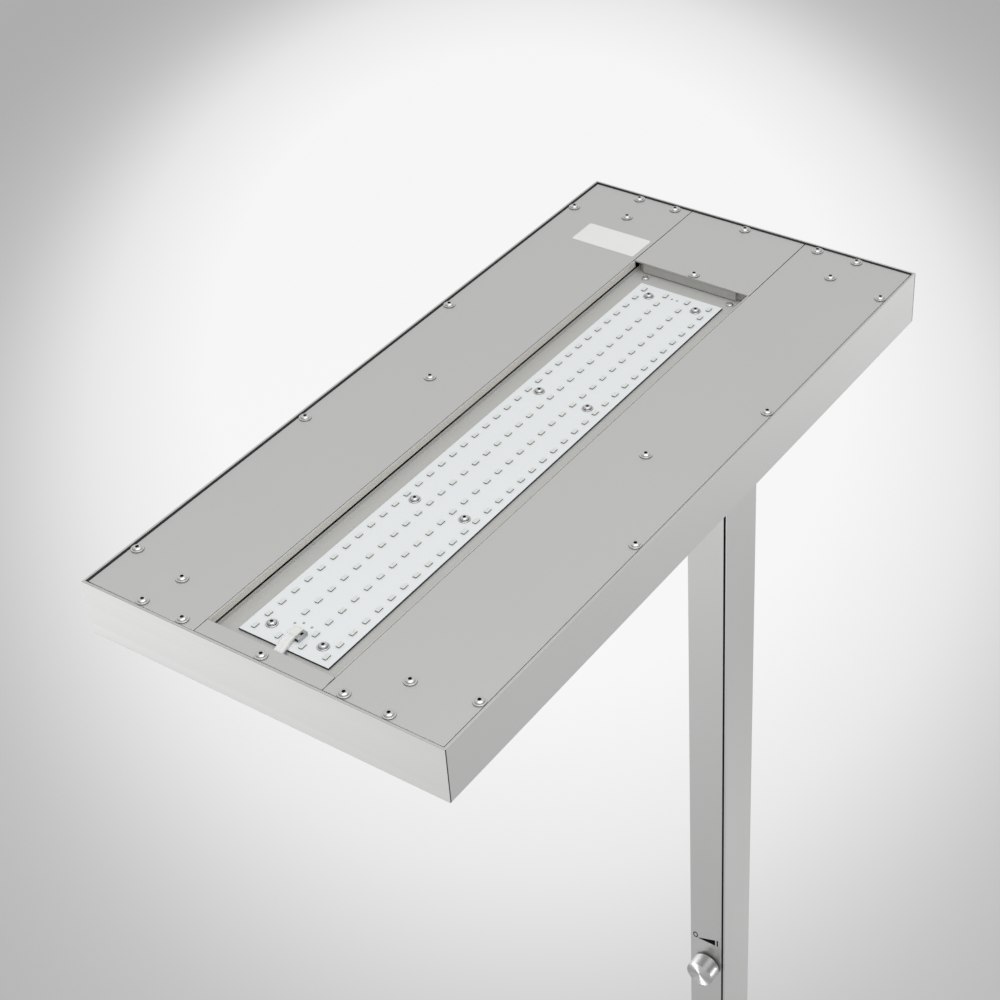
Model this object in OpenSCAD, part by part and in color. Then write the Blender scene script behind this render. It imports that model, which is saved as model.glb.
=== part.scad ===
// Office floor lamp: a flat rectangular light head on a column, with a weighted base plate.
// The head lights upward from a board in a recess on its top and downward through a diffuser.
// Units are millimetres. The floor is z = 0, the head is centred on the z axis, and -Y is the user's side.

/* [Overall] */
// Height of the lamp, floor to the top of the head frame
total_h = 1950; // [1750:10:2100]
// Length of the head, front to rear
head_l = 620; // [580:5:680]
// Width of the head
head_w = 300; // [280:5:330]
// Height of the head frame
head_h = 45; // [44:1:60]
// Height of the knob axis above the floor
knob_h = 1092; // [700:2:1300]

/* [Head frame] */
// Wall of the frame profile, which is also the visible rim
rail_wall = 2; // [1.6:0.1:2.6]
// Width of the ledge that carries the covers, from the outer face
ledge_w = 13; // [12:0.5:18]
// Thickness of that ledge
ledge_t = 2.5; // [1.5:0.1:3]
// Width of the closed chamber at the bottom of the profile
chamber_w = 10; // [9:0.5:12]
// Height of that chamber
chamber_h = 14; // [11:0.5:15]
// Width of the sill that carries the diffuser, from the outer face
sill_w = 16; // [14:0.5:16.5]
// Thickness of the sill
sill_t = 2; // [1.5:0.1:3]
// Leg length of the corner brackets in the chambers
corner_leg = 40; // [20:1:60]

/* [Top covers] */
// Sheet thickness of the covers
cover_t = 1.5; // [1:0.1:2]
// Depth of the covers below the rim
cover_drop = 1; // [0.8:0.1:2]
// Gap between the rim and the covers
rim_gap = 1.1; // [0.6:0.1:1.4]
// Width of the opening between the two side covers
opening_w = 107; // [102:1:112]
// Gap between neighbouring covers
seam = 0.6; // [0.4:0.1:1]
// Length of the front cover strip
strip_l = 12.9; // [12.6:0.1:16]
// Length of the rear cover
rear_cover_l = 89.4; // [80:0.1:95]

/* [Cover screws] */
// Diameter of the screw collar
collar_d = 9.4; // [8:0.1:9.4]
// Diameter of the domed screw head
dome_d = 7; // [6:0.1:7.4]
// Diameter of the screw shank
screw_d = 4; // [3:0.1:4]
// Length of the screw shank below the head
screw_len = 8; // [6:0.5:8]
// Width across flats of the hexagon socket
socket_af = 2.5; // [2:0.1:3]
// Distance of the edge screws from the outer face
edge_inset = 7.5; // [7.5:0.1:8]
// Distance of the first side screw from the end of the head
side_first = 45.5; // [40:0.5:50]
// Number of screws along each side
side_count = 4; // [3:1:5]
// Distance of the outer end screws from the side of the head
end_outer = 48; // [44:0.5:52]
// Distance of the inner end screws from the side of the head
end_inner = 83; // [78:0.5:86]
// Distance of the inner cover screws from the opening
inner_side = 41.5; // [38:0.5:44]
// Distance of the inner cover screws from the end of the head
inner_end = 38; // [34:0.5:42]

/* [Recess] */
// Height of the side strips that line the recess
lining_h = 5.8; // [4.6:0.1:6.2]
// Height of the air slot under the side strips
slot_h = 3.2; // [2.6:0.1:4]
// Height of the turned-up edges of the tray
lip_h = 1.2; // [0.8:0.1:2]
// Sheet thickness of the tray
tray_t = 1.2; // [1:0.1:2]
// Sheet thickness of the cross straps
strap_t = 2; // [1.5:0.1:3]
// Width of the cross straps
strap_w = 30; // [26:1:36]
// Offset of the recess end wall from the edge of the rear cover
end_wall_set = 0.8; // [0.4:0.1:2]

/* [Uplight board] */
// Width of the board
board_w = 75; // [72:0.5:78]
// Thickness of the board
board_t = 1.6; // [1:0.1:2]
// Gap from the front cover strip to the board
board_front = 11; // [8:0.5:12]
// Gap from the board to the rear cover
board_rear = 14.5; // [14:0.5:18]
// Number of rows of lights
led_rows = 4; // [2:2:4]
// Spacing of the lights along the board
led_pitch = 13.45; // [12.5:0.05:13.6]
// Spacing of the rows
row_pitch = 19.85; // [18:0.05:20.5]
// Length of one light
led_l = 5.4; // [3:0.1:5.8]
// Width of one light
led_w = 3.1; // [2:0.1:3.5]
// Height of one light
led_h = 1; // [0.6:0.1:1.3]
// Distance of the first board screws from the ends of the board
board_screw_end = 14.4; // [13:0.1:16]
// Distance between the two rows of board screws
board_screw_gap = 43; // [42:0.1:44]

/* [Board lead] */
// Width of the flat white lead
lead_w = 7.4; // [6:0.1:8]
// Thickness of the flat white lead
lead_t = 3; // [2.4:0.1:3.2]

/* [Downlight] */
// Thickness of the diffuser
diffuser_t = 2; // [1.5:0.1:3]
// Thickness of the light guide
guide_t = 4; // [3:0.1:5]
// Thickness of the white reflector sheet
reflector_t = 0.8; // [0.5:0.1:1]
// Thickness of the back plate
back_t = 1.2; // [1:0.1:1.5]
// Length of the light drivers
driver_l = 230; // [180:1:260]
// Width of the light drivers
driver_w = 42; // [30:1:44]
// Height of the light drivers
driver_h = 21; // [16:0.5:21.5]

/* [Column] */
// Width of the column, left to right
pole_w = 41; // [38:0.5:44]
// Depth of the column, front to rear
pole_d = 50; // [46:0.5:54]
// Wall of the column profile
pole_wall = 2; // [1.8:0.1:2.5]
// Distance of the column from the rear face of the head
pole_inset = 17.5; // [17:0.5:24]
// Thickness of the front cover strip of the column
front_t = 2; // [1.5:0.1:2.5]
// Width of the shadow gap beside the front cover strip
shadow_gap = 2; // [1:0.1:2.5]
// Thickness of the flange on top of the column
flange_t = 8; // [6:0.5:10]
// Thickness of the rear bottom plate of the head
plate_t = 3; // [2.5:0.1:4]
// Length of the blocks that plug the ends of the column
plug_l = 60; // [45:1:80]

/* [Dimmer] */
// Diameter of the knob
knob_d = 30; // [24:0.5:32]
// Length of the knob
knob_l = 15.5; // [14:0.5:22]
// Diameter of the dimmer shaft
shaft_d = 6; // [5:0.1:6]
// Diameter of the threaded bush
bush_d = 9; // [8.6:0.1:10]
// Side of the square dimmer body
dimmer_side = 19; // [16:0.5:20]
// Depth of the dimmer body
dimmer_depth = 14; // [11:0.5:18]

/* [Base] */
// Width of the base plate
base_w = 280; // [260:5:290]
// Length of the base plate
base_l = 400; // [380:5:420]
// Thickness of the base plate
base_t = 12; // [10:0.5:16]
// Corner radius of the base plate
base_r = 14; // [6:1:20]
// Distance of the base plate from the rear face of the head
base_inset = 5; // [0:1:10]
// Diameter of the feet
foot_d = 30; // [20:1:36]
// Height of the feet
foot_h = 3; // [2:0.5:5]
// Distance of the feet from the edges of the base plate
foot_inset = 26; // [22:1:40]
// Height of the cable inlet above the base plate
inlet_h = 90; // [82:1:120]
// Diameter of the bore of the cable grommet
inlet_d = 7.2; // [6:0.1:7.6]

/* [Hidden] */

// Overrun of every cut past the face that it opens
over = 1;
// Clearance of a shank in its hole, on the radius
hole_clear = 0.1;
// Clearance between sheets and profiles that slot together
fit = 0.3;
// Clearance of a block or bracket in a hollow profile
slide_clear = 0.1;
// Clearance of the turning shaft in its bush, on the radius
shaft_clear = 0.05;

// Levels of the head, from the rim down
rim_z = total_h;
cover_top = rim_z - cover_drop;
cover_bot = cover_top - cover_t;
ledge_bot = cover_bot - ledge_t;
lining_bot = cover_top - lining_h;
lip_top = lining_bot - slot_h;
tray_top = lip_top - lip_h;
tray_bot = tray_top - tray_t;
board_top = tray_top + board_t;
head_bot = rim_z - head_h;
sill_z = head_bot + sill_t;
diffuser_top = sill_z + diffuser_t;
guide_top = diffuser_top + guide_t;
reflector_top = guide_top + reflector_t;
back_top = reflector_top + back_t;
plate_top = sill_z + plate_t;

// Half sizes of the head and of its covers
hx = head_w / 2;
hy = head_l / 2;
cover_hx = hx - rail_wall - rim_gap;
cover_hy = hy - rail_wall - rim_gap;
opening_hx = opening_w / 2;
front_edge_y = strip_l - cover_hy;
rear_edge_y = cover_hy - rear_cover_l;

// Cover screws: their places and the proportions of the head
edge_x = hx - edge_inset;
edge_y = hy - edge_inset;
inner_x = opening_hx + inner_side;
side_pitch = (head_l - 2 * side_first) / (side_count - 1);
side_ys = [for (i = [0 : side_count - 1]) side_first - hy + i * side_pitch];
end_xs = [end_outer - hx, end_inner - hx, 0, hx - end_inner, hx - end_outer];
inner_ys = [inner_end - hy, 0, hy - inner_end];
rear_screw_y = rear_edge_y + collar_d / 2;
collar_t = 0.7;
dome_h = 1.5;
dome_shares = [[1, 0], [0.95, 0.35], [0.82, 0.68], [0.6, 0.92], [0.4, 1]];
socket_deep = 1.3;

// Recess lining, tray, end wall and straps
lining_t = 1;
lining_flange = 6.8;
lip_t = 1;
tray_side = 1.2;
tray_hx = opening_hx - tray_side;
tray_front = ledge_w + fit - hy;
tray_rear = hy - ledge_w - fit;
tray_screw_x = 39;
tray_screw_set = 6;
tray_screw_y = rear_edge_y - tray_screw_set;
end_wall_t = 1.2;
end_wall_left = 44.6;
end_wall_right = 40.2;
end_wall_cut = 6.2;
end_wall_step = 3;
end_wall_gap = 0.8;
end_wall_flange = 14;
strap_drop_x = opening_hx - seam + lining_flange;
strap_step_x = hx - ledge_w - fit;
strap_end_x = hx - rail_wall - fit;
support_hx = 45;
support_t = 1.5;
support_flange = 15;

// Small pan-head screws of the boards and sheets
small_d = 3;
small_head_d = 6;
small_head_h = 1.8;
washer_d = 8.6;
washer_t = 0.6;
pan_shares = [[1, 0], [1, 0.5], [0.9, 0.8], [0.7, 1]];
pan_key_share = 0.7;

// Uplight board with its connector
board_y0 = front_edge_y + board_front;
board_l = rear_edge_y - board_rear - board_y0;
board_yc = board_y0 + board_l / 2;
led_cols = floor(board_l / led_pitch);
board_screw_rows = 4;
board_screw_pitch = (board_l - 2 * board_screw_end) / (board_screw_rows - 1);
board_screw_ys = [for (i = [0 : board_screw_rows - 1]) board_y0 + board_screw_end + i * board_screw_pitch];
connector_x = 0.5;
connector_set = 10;
connector_y = board_y0 + connector_set;
connector_w = 11;
connector_l = 9;
connector_h = 3.6;

// Flat lead: its points from the connector over the front edge of the board, measured from the
// connector's foot, then the shares of the way that its run under the tray has covered
lead_drop = [
    [-1.8, 0, 1.9], [-1.8, -4.5, 1.9], [-0.2, -10, 1.9], [1.2, -16, 1.9], [1.7, -21, 1.6],
    [1.9, -26, 0.1], [1.9, -29, -2.9], [1.9, -29.5, -6.4], [1.9, -29.5, -10.4], [1.9, -28, -13.4],
];
lead_turn = [2.4, -24, -14.9];
lead_run_shares = [
    [0, 0], [0.04, 0.03], [0.16, 0.105], [0.4, 0.24], [0.7, 0.4], [0.92, 0.57], [1, 0.73], [1, 0.86],
    [1, 0.98], [1, 1],
];
lead_shares = [
    [1, 0.45], [0.8, 1], [-0.8, 1], [-1, 0.45], [-1, -0.45], [-0.8, -1], [0.8, -1], [1, -0.45],
];

// Column, with the blocks in its ends
pole_hx = pole_w / 2;
pole_rear = hy - pole_inset;
pole_front = pole_rear - pole_d;
pole_yc = (pole_front + pole_rear) / 2;
pole_bot = foot_h + base_t;
pole_top = sill_z - flange_t;
pole_lip_t = 2;
pole_lip_w = 5;
rib_t = 1.2;
rib_l = 4;
mouth_left = pole_wall + pole_lip_w - pole_hx;
mouth_right = pole_hx - pole_wall - shadow_gap - pole_lip_w;
strip_right = pole_hx - pole_wall - shadow_gap;
block_front = pole_front + front_t + rib_l + fit;
block_rear = pole_rear - pole_wall - slide_clear;
block_hx = pole_hx - pole_wall - slide_clear;
wire_bore_d = 14;
block_screw_d = 5;
block_screw_head_d = 8.5;
block_screw_head_h = 2.2;
block_screw_len = 12;
block_screw_share = 0.25;

// Joint between the column and the head
flange_hx = 44;
flange_hy = hy - sill_w - fit - pole_yc;
bolt_x = 34;
bolt_y = 18;
bolt_d = 6;
bolt_head_d = 10;
bolt_head_h = 6;
bolt_end = 1.5;
bolt_key_share = 0.83;
nut_af = 10;
nut_h = 5;

// Downlight: light guide lit from boards along both sides
bay_l = 46.5;
optic_front = chamber_w + fit - hy;
optic_rear = pole_front - bay_l;
optic_hx = hx - chamber_w - fit;
edge_board_t = 1;
edge_led_t = 1;
edge_led_w = 3;
edge_led_h = 3;
edge_led_pitch = 30;
guide_hx = optic_hx - edge_board_t - edge_led_t - fit;
plate_lap = 10;

// Drivers and terminal block
driver_x = inner_x;
driver_set = 6;
driver_tab_l = 10;
driver_tab_t = 2;
terminal_w = 40;
terminal_l = 18;
terminal_h = 14;
terminal_x = 85;
terminal_set = 30;
terminal_ways = 5;
terminal_hole_d = 4;
terminal_hole_l = 6;

// Cable grommet in the rear wall of the column
grommet_neck_d = 11;
grommet_flange_d = 16;
grommet_flange_t = 1.6;
grommet_z = pole_bot + inlet_h;

// Dimmer: body behind the front cover strip, bush and shaft through it
bush_end = 1;
panel_nut_af = 12;
panel_nut_h = 2;
shaft_in = 11;
knob_gap = 2;
knob_recess_d = 17;
knob_recess_l = 3.5;
knob_chamfer = 0.8;
knob_front_t = 3;
knob_dish_d = 26;
knob_dish_l = 0.3;
set_screw_d = 3;
set_screw_len = 6;
set_screw_share = 0.5;

// Base plate and its screws
base_rear = hy - base_inset;
base_yc = base_rear - base_l / 2;
base_edge = 1;
base_screw_d = 8;
base_screw_head_d = 15;
base_screw_head_h = 4.4;
base_key_share = 0.62;
base_key_deep_share = 0.7;
base_screw_up = 20;
base_screw_x = 10;
base_screw_y = 12;
foot_taper_share = 0.9;

// Colours
aluminium = [0.76, 0.76, 0.76];
sheet = [0.7, 0.7, 0.71];
steel = [0.62, 0.62, 0.64];
dark = [0.2, 0.2, 0.21];
white = [0.93, 0.93, 0.91];

// Round shank with hole clearance, from z = -len to z = len
module hole(d, len) {
    translate([0, 0, -len]) cylinder(h = 2 * len, d = d + 2 * hole_clear, $fn = 40);
}

// Hexagonal bar across its flats, upward from z = 0
module hexagon(af, h) {
    cylinder(h = h, d = af / cos(30), $fn = 6);
}

// Screw head turned from a table of shares, upward from z = 0
module turned_head(d, h, shares) {
    rotate_extrude($fn = 48) polygon(concat(
        [[0, 0]], [for (p = shares) [p[0] * d / 2, p[1] * h]], [[0, h]]
    ));
}

// Pan-head screw standing on z = 0 with its shank downward
module pan_screw(d, head_d, head_h, len) {
    difference() {
        union() {
            turned_head(head_d, head_h, pan_shares);
            translate([0, 0, -len]) cylinder(h = len, d = d, $fn = 40);
        }
        translate([0, 0, head_h / 2]) hexagon(d * pan_key_share, head_h);
    }
}

// Sheet or strip outline in x and z, drawn out along y from y0 to y1
module along_y(y0, y1) {
    translate([0, y1, 0]) rotate([90, 0, 0]) linear_extrude(y1 - y0) children();
}

// Flat block from opposite corners
module block(low, high) {
    translate(low) cube(high - low);
}

// Children at every cover screw
module at_cover_screws() {
    for (x = [-edge_x, edge_x], y = side_ys) translate([x, y, 0]) children();
    for (x = end_xs, y = [-edge_y, edge_y]) translate([x, y, 0]) children();
    for (x = [-inner_x, inner_x], y = inner_ys) translate([x, y, 0]) children();
    translate([0, rear_screw_y, 0]) children();
}

module cover_screw_holes() {
    at_cover_screws() translate([0, 0, cover_top]) hole(screw_d, screw_len + over);
}

// Children at every screw of the uplight board
module at_board_screws() {
    for (x = [-0.5, 0.5], y = board_screw_ys) translate([x * board_screw_gap, y, 0]) children();
}

// Children at both tray screws
module at_tray_screws() {
    for (x = [-tray_screw_x, tray_screw_x]) translate([x, tray_screw_y, 0]) children();
}

// Section of the frame profile: x runs inward from the outer face, y is the height under the rim
module rail_section() {
    difference() {
        polygon([
            [0, -head_h], [sill_w, -head_h], [sill_w, sill_z - rim_z], [chamber_w, sill_z - rim_z],
            [chamber_w, chamber_h - head_h], [rail_wall, chamber_h - head_h],
            [rail_wall, ledge_bot - rim_z], [ledge_w, ledge_bot - rim_z],
            [ledge_w, cover_bot - rim_z], [rail_wall, cover_bot - rim_z], [rail_wall, 0], [0, 0],
        ]);
        translate([rail_wall, rail_wall - head_h])
            square([chamber_w - 2 * rail_wall, chamber_h - 2 * rail_wall]);
    }
}

// Rail with mitred ends, its outer face on y = 0 and its rim on z = 0
module mitred_rail(len) {
    deep = sill_w + ledge_w;
    intersection() {
        rotate([90, 0, 90]) linear_extrude(len, center = true) rail_section();
        translate([0, 0, -head_h - over]) linear_extrude(head_h + 2 * over)
            polygon([[-len / 2, 0], [len / 2, 0], [len / 2 - deep, deep], [deep - len / 2, deep]]);
    }
}

module frame_rail(turn, out, len) {
    color(aluminium) difference() {
        rotate([0, 0, turn]) translate([0, -out, rim_z]) mitred_rail(len);
        cover_screw_holes();
    }
}

module frame_rail_front() frame_rail(0, hy, head_w);
module frame_rail_right() frame_rail(90, hx, head_l);
module frame_rail_rear() frame_rail(180, hy, head_w);
module frame_rail_left() frame_rail(270, hx, head_l);

// Angles that join the rails inside their chambers
module corner_brackets() {
    set = rail_wall + slide_clear;
    w = chamber_w - 2 * set;
    color(steel) for (x = [0, 1], y = [0, 1]) mirror([x, 0, 0]) mirror([0, y, 0])
        translate([set - hx, set - hy, head_bot + set]) linear_extrude(chamber_h - 2 * set)
            polygon([[0, 0], [corner_leg, 0], [corner_leg, w], [w, w], [w, corner_leg], [0, corner_leg]]);
}

// Flat cover sheet between two corners in plan, drilled for its screws
module cover(low, high) {
    color(aluminium) difference() {
        block([low[0], low[1], cover_bot], [high[0], high[1], cover_top]);
        cover_screw_holes();
    }
}

module cover_left() cover([-cover_hx, -cover_hy], [-opening_hx, cover_hy]);
module cover_right() cover([opening_hx, -cover_hy], [cover_hx, cover_hy]);
module front_cover_strip() cover([seam - opening_hx, -cover_hy], [opening_hx - seam, front_edge_y]);
module rear_cover() cover([seam - opening_hx, rear_edge_y], [opening_hx - seam, cover_hy]);

// Flanged button-head screws with hexagon sockets
module cover_screws() {
    color(steel) at_cover_screws() translate([0, 0, cover_top]) difference() {
        union() {
            translate([0, 0, -screw_len]) cylinder(h = screw_len, d = screw_d, $fn = 40);
            cylinder(h = collar_t, d = collar_d, $fn = 48);
            translate([0, 0, collar_t]) turned_head(dome_d, dome_h, dome_shares);
        }
        translate([0, 0, collar_t + dome_h - socket_deep]) hexagon(socket_af, dome_h);
    }
}

// Angle strip that lines the recess: a visible upright and a flange under the side cover
module recess_lining(side) {
    x = opening_hx - seam;
    color(aluminium) mirror([side, 0, 0]) along_y(front_edge_y + seam, rear_edge_y - seam) polygon([
        [x - lining_t, lining_bot], [x, lining_bot], [x, cover_bot - lining_t],
        [x + lining_flange, cover_bot - lining_t], [x + lining_flange, cover_bot],
        [x, cover_bot], [x, cover_top], [x - lining_t, cover_top],
    ]);
}

module recess_lining_left() recess_lining(1);
module recess_lining_right() recess_lining(0);

// Tray with turned-up edges: floor of the recess and seat of the board
module recess_tray() {
    color(sheet) difference() {
        along_y(tray_front, tray_rear) polygon([
            [-tray_hx, tray_bot], [tray_hx, tray_bot], [tray_hx, lip_top], [tray_hx - lip_t, lip_top],
            [tray_hx - lip_t, tray_top], [lip_t - tray_hx, tray_top], [lip_t - tray_hx, lip_top],
            [-tray_hx, lip_top],
        ]);
        at_tray_screws() translate([0, 0, tray_top]) hole(small_d, tray_t + over);
        at_board_screws() translate([0, 0, tray_top]) hole(small_d, tray_t + over);
    }
}

// Wall that closes the rear of the recess: one corner cut back, one end stepped back, a flange on top
module recess_end_wall() {
    x = opening_hx - seam;
    y = rear_edge_y + end_wall_set;
    t = end_wall_t;
    foot = tray_top + end_wall_gap;
    color(sheet) difference() {
        union() {
            translate([0, 0, foot]) linear_extrude(cover_bot - foot) polygon([
                [-x, y + end_wall_cut], [-end_wall_left, y], [end_wall_right, y],
                [end_wall_right, y + end_wall_step], [x, y + end_wall_step], [x, y + end_wall_step + t],
                [end_wall_right - t, y + end_wall_step + t], [end_wall_right - t, y + t],
                [t / 2 - end_wall_left, y + t], [t / 2 - x, y + end_wall_cut + t], [-x, y + end_wall_cut + t],
            ]);
            block([t - end_wall_left, y, cover_bot - t], [end_wall_right, y + end_wall_flange, cover_bot]);
        }
        cover_screw_holes();
    }
}

module tray_screws() {
    color(steel) at_tray_screws() translate([0, 0, tray_top])
        pan_screw(small_d, small_head_d, small_head_h, tray_t + support_t);
}

// Bent cross strap: its ends lie under the side ledges and its middle carries the tray
module strap(y) {
    t = strap_t;
    under = [
        [strap_drop_x + t, tray_bot - t], [strap_drop_x + t, cover_bot - t],
        [strap_step_x - t, cover_bot - t], [strap_step_x - t, ledge_bot - t], [strap_end_x, ledge_bot - t],
    ];
    upper = [
        [strap_end_x, ledge_bot], [strap_step_x, ledge_bot], [strap_step_x, cover_bot],
        [strap_drop_x, cover_bot], [strap_drop_x, tray_bot],
    ];
    half = concat(under, upper);
    color(sheet) difference() {
        along_y(y - strap_w / 2, y + strap_w / 2)
            polygon(concat(half, [for (i = [len(half) - 1 : -1 : 0]) [-half[i][0], half[i][1]]]));
        cover_screw_holes();
    }
}

module front_strap() strap(inner_ys[0]);
module middle_strap() strap(inner_ys[1]);
module rear_strap() strap(inner_ys[2]);

// Folded bracket from the rear bottom plate up to the tray
module tray_support() {
    t = support_t;
    color(sheet) translate([0, tray_screw_y, 0]) difference() {
        rotate([90, 0, 90]) linear_extrude(2 * support_hx, center = true) polygon([
            [-support_flange / 2, tray_bot - t], [support_flange / 2 - t, tray_bot - t],
            [support_flange / 2 - t, plate_top], [support_flange, plate_top],
            [support_flange, plate_top + t], [support_flange / 2, plate_top + t],
            [support_flange / 2, tray_bot], [-support_flange / 2, tray_bot],
        ]);
        for (x = [-tray_screw_x, tray_screw_x]) translate([x, 0, tray_bot]) hole(small_d, t + over);
    }
}

module uplight_board() {
    color(white) difference() {
        block([-board_w / 2, board_y0, tray_top], [board_w / 2, board_y0 + board_l, board_top]);
        at_board_screws() translate([0, 0, board_top]) hole(small_d, board_t + over);
    }
}

// Lights in even rows, with one place beside the connector left free
module uplight_leds() {
    color(white) for (column = [0 : led_cols - 1], row = [0 : led_rows - 1])
        if (column != 1 || row != led_rows / 2 - 1)
            translate([
                (row - (led_rows - 1) / 2) * row_pitch - led_w / 2,
                board_yc + (column - (led_cols - 1) / 2) * led_pitch - led_l / 2,
                board_top,
            ])
                cube([led_w, led_l, led_h]);
}

module board_connector() {
    color(white) translate([connector_x - connector_w / 2, connector_y, board_top])
        cube([connector_w, connector_l, connector_h]);
}

module board_screws() {
    color(steel) at_board_screws() translate([0, 0, board_top]) {
        cylinder(h = washer_t, d = washer_d, $fn = 40);
        translate([0, 0, washer_t])
            pan_screw(small_d, small_head_d, small_head_h, washer_t + board_t + tray_t);
    }
}

// Corner cutting that keeps both ends of a line of points
function rounded(p, times) = times == 0 ? p : rounded(concat(
    [p[0]],
    [for (i = [0 : len(p) - 2], share = [0.25, 0.75])
        if ((i > 0 || share > 0.5) && (i < len(p) - 2 || share < 0.5)) p[i] + share * (p[i + 1] - p[i])],
    [p[len(p) - 1]]
), times - 1);
function unit(v) = v / norm(v);
function tangent(p, i) = unit(p[min(i + 1, len(p) - 1)] - p[max(i - 1, 0)]);
// Direction of the lead's width at each point, carried along without twist
function widths(p, i, w) = i == len(p) ? [] : let (
    t = tangent(p, i),
    n = unit(w - (w * t) * t)
) concat([n], widths(p, i + 1, n));

// Tube of flat section swept along a line of points
module flat_tube(p, w, t) {
    dirs = widths(p, 0, [1, 0, 0]);
    sides = len(lead_shares);
    points = [for (i = [0 : len(p) - 1], s = lead_shares)
        p[i] + s[0] * w / 2 * dirs[i] + s[1] * t / 2 * cross(tangent(p, i), dirs[i])];
    walls = [for (i = [0 : len(p) - 2], j = [0 : sides - 1])
        let (a = i * sides + j, b = i * sides + (j + 1) % sides)
            each [[a, a + sides, b], [b, a + sides, b + sides]]];
    start = [for (j = [0 : sides - 1]) j];
    end = [for (j = [sides - 1 : -1 : 0]) (len(p) - 1) * sides + j];
    polyhedron(points, concat(walls, [start, end]));
}

module board_lead() {
    foot = [connector_x, connector_y, board_top];
    from = foot + lead_turn;
    way = [driver_x, optic_rear - driver_set - driver_l, back_top + driver_h / 2] - from;
    run = [for (s = lead_run_shares) from + [s[0] * way[0], s[1] * way[1], s[1] * way[2]]];
    color(white) flat_tube(rounded(concat([for (p = lead_drop) foot + p], run), 2), lead_w, lead_t);
}

// Stack of the downlight, each sheet between the same ends
module optic_sheet(half_w, z0, z1) {
    block([-half_w, optic_front, z0], [half_w, optic_rear, z1]);
}

module diffuser() {
    color(white) optic_sheet(optic_hx, sill_z, diffuser_top);
}

module light_guide() {
    color([0.85, 0.9, 0.92]) optic_sheet(guide_hx, diffuser_top, guide_top);
}

module reflector_sheet() {
    color(white) optic_sheet(guide_hx, guide_top, reflector_top);
}

module back_plate() {
    color(sheet) difference() {
        optic_sheet(optic_hx, reflector_top, back_top);
        at_driver_screws() translate([0, 0, back_top]) hole(small_d, back_t + over);
    }
}

// Boards on edge along both sides of the light guide
module edge_boards() {
    color(white) for (side = [0, 1]) mirror([side, 0, 0])
        block([optic_hx - edge_board_t, optic_front, diffuser_top], [optic_hx, optic_rear, reflector_top]);
}

module edge_leds() {
    count = floor((optic_rear - optic_front) / edge_led_pitch);
    first = (optic_front + optic_rear - (count - 1) * edge_led_pitch - edge_led_w) / 2;
    x = optic_hx - edge_board_t - edge_led_t;
    z = (diffuser_top + guide_top - edge_led_h) / 2;
    color([0.95, 0.9, 0.6]) for (side = [0, 1], i = [0 : count - 1]) mirror([side, 0, 0])
        translate([x, first + i * edge_led_pitch, z]) cube([edge_led_t, edge_led_w, edge_led_h]);
}

// Light driver with a fixing tab at each end, lying on the back plate
module driver(x) {
    rear = optic_rear - driver_set;
    front = rear - driver_l;
    color(white) translate([x, 0, back_top]) difference() {
        union() {
            block([-driver_w / 2, front, 0], [driver_w / 2, rear, driver_tab_t]);
            block([-driver_w / 2, front + driver_tab_l, 0], [driver_w / 2, rear - driver_tab_l, driver_h]);
        }
        for (y = [front, rear - driver_tab_l])
            translate([0, y + driver_tab_l / 2, 0]) hole(small_d, driver_tab_t + over);
    }
}

module uplight_driver() driver(driver_x);
module downlight_driver() driver(-driver_x);

// Children at the fixing tabs of both drivers
module at_driver_screws() {
    rear = optic_rear - driver_set - driver_tab_l / 2;
    for (x = [-driver_x, driver_x], y = [rear, rear - driver_l + driver_tab_l])
        translate([x, y, 0]) children();
}

module driver_screws() {
    color(steel) at_driver_screws() translate([0, 0, back_top + driver_tab_t])
        pan_screw(small_d, small_head_d, small_head_h, driver_tab_t + back_t);
}

// Terminal block with a row of wire entries on each side
module terminal_block() {
    y = optic_rear + terminal_set;
    pitch = terminal_w / terminal_ways;
    color(white) translate([-terminal_x, y, plate_top]) difference() {
        block([-terminal_w / 2, 0, 0], [terminal_w / 2, terminal_l, terminal_h]);
        for (i = [0 : terminal_ways - 1], side = [0, terminal_l])
            translate([(i + 0.5) * pitch - terminal_w / 2, side, terminal_h / 2]) rotate([90, 0, 0])
                cylinder(h = 2 * terminal_hole_l, d = terminal_hole_d, center = true, $fn = 24);
    }
}

// Children at the bolts between the column and the head
module at_head_bolts() {
    for (x = [-bolt_x, bolt_x], y = [-bolt_y, bolt_y]) translate([x, pole_yc + y, 0]) children();
}

// Plate that closes the rear of the head's underside and carries the column, with a lap under the diffuser
module rear_bottom_plate() {
    sill_x = hx - sill_w - fit;
    color(sheet) difference() {
        union() {
            block([-optic_hx, optic_rear + fit, sill_z], [optic_hx, -optic_front, plate_top]);
            block([-sill_x, optic_rear - plate_lap, head_bot], [sill_x, optic_rear + plate_lap, sill_z]);
        }
        at_head_bolts() translate([0, 0, plate_top]) hole(bolt_d, plate_t + over);
        translate([0, pole_yc, plate_top]) hole(wire_bore_d, plate_t + over);
    }
}

// Solid block that fills the column's hollow over the given heights
module column_block(z0, z1) {
    block([-block_hx, block_front, z0], [block_hx, block_rear, z1]);
}

// Heights of the screws through the column into the blocks at its two ends
block_screw_zs = concat(
    [for (s = [block_screw_share, 1 - block_screw_share]) pole_bot + s * plug_l],
    [for (s = [block_screw_share, 1 - block_screw_share]) pole_top - s * plug_l]
);

// Children at those screws, with z turned to point out of the rear wall
module at_block_screws() {
    for (z = block_screw_zs) translate([0, pole_rear, z]) rotate([-90, 0, 0]) children();
}

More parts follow.
